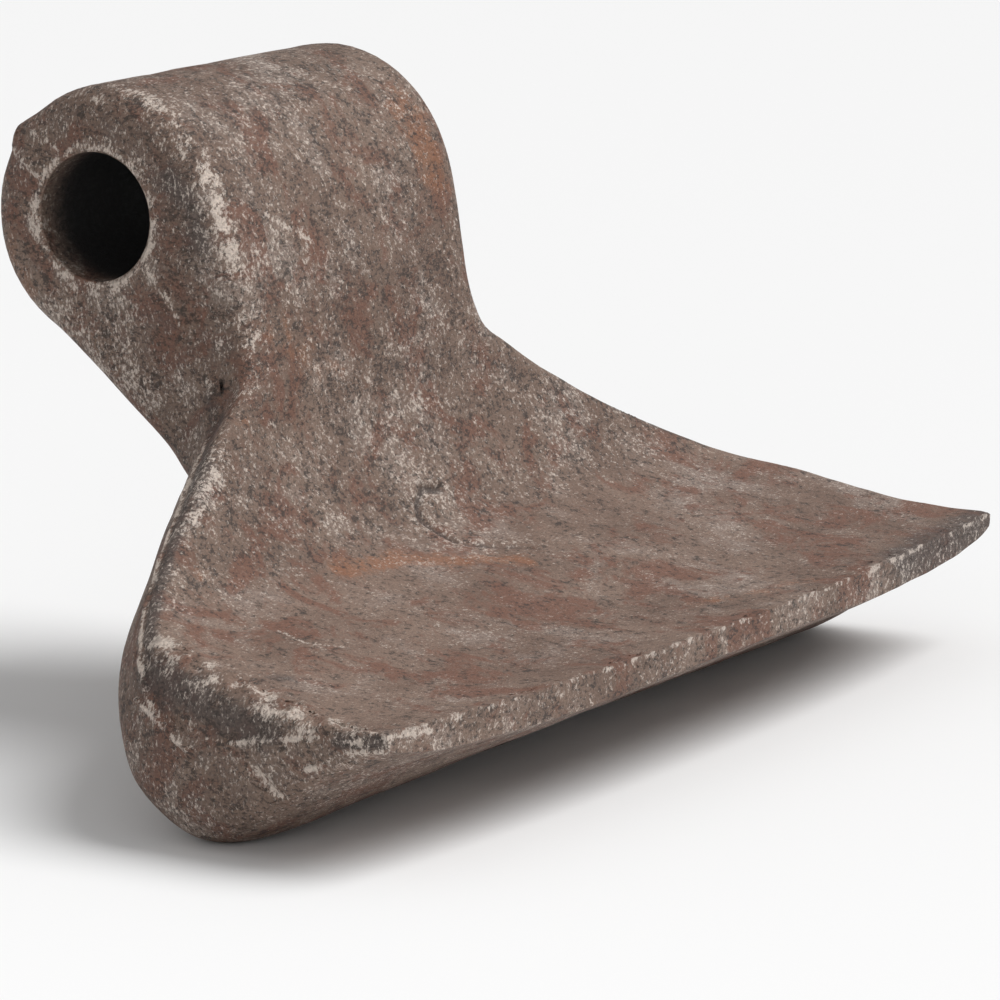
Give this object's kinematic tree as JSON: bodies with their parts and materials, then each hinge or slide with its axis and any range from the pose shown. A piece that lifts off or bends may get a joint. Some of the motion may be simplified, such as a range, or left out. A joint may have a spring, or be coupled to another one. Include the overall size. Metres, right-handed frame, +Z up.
{
  "type": "hammer flail",
  "caption": "Forged steel hammer flail with a wide scooped blade and a cylindrical hub bored for a swing pin.",
  "frame": {"origin": "centre of the bore, on its axis at mid width", "axes": "+X along the bore and the cutting edge, the scooped striking face looks toward -Y, +Z up from the heel of the blade to the hub"},
  "size_m": [0.1568, 0.0935, 0.0829],
  "materials": {
    "forged_steel": "as forged and shot blasted, brown-grey with patches of light rust"
  },
  "bodies": {
    "root": {"hammer_forging": "forged_steel"}
  },
  "joints": []
}
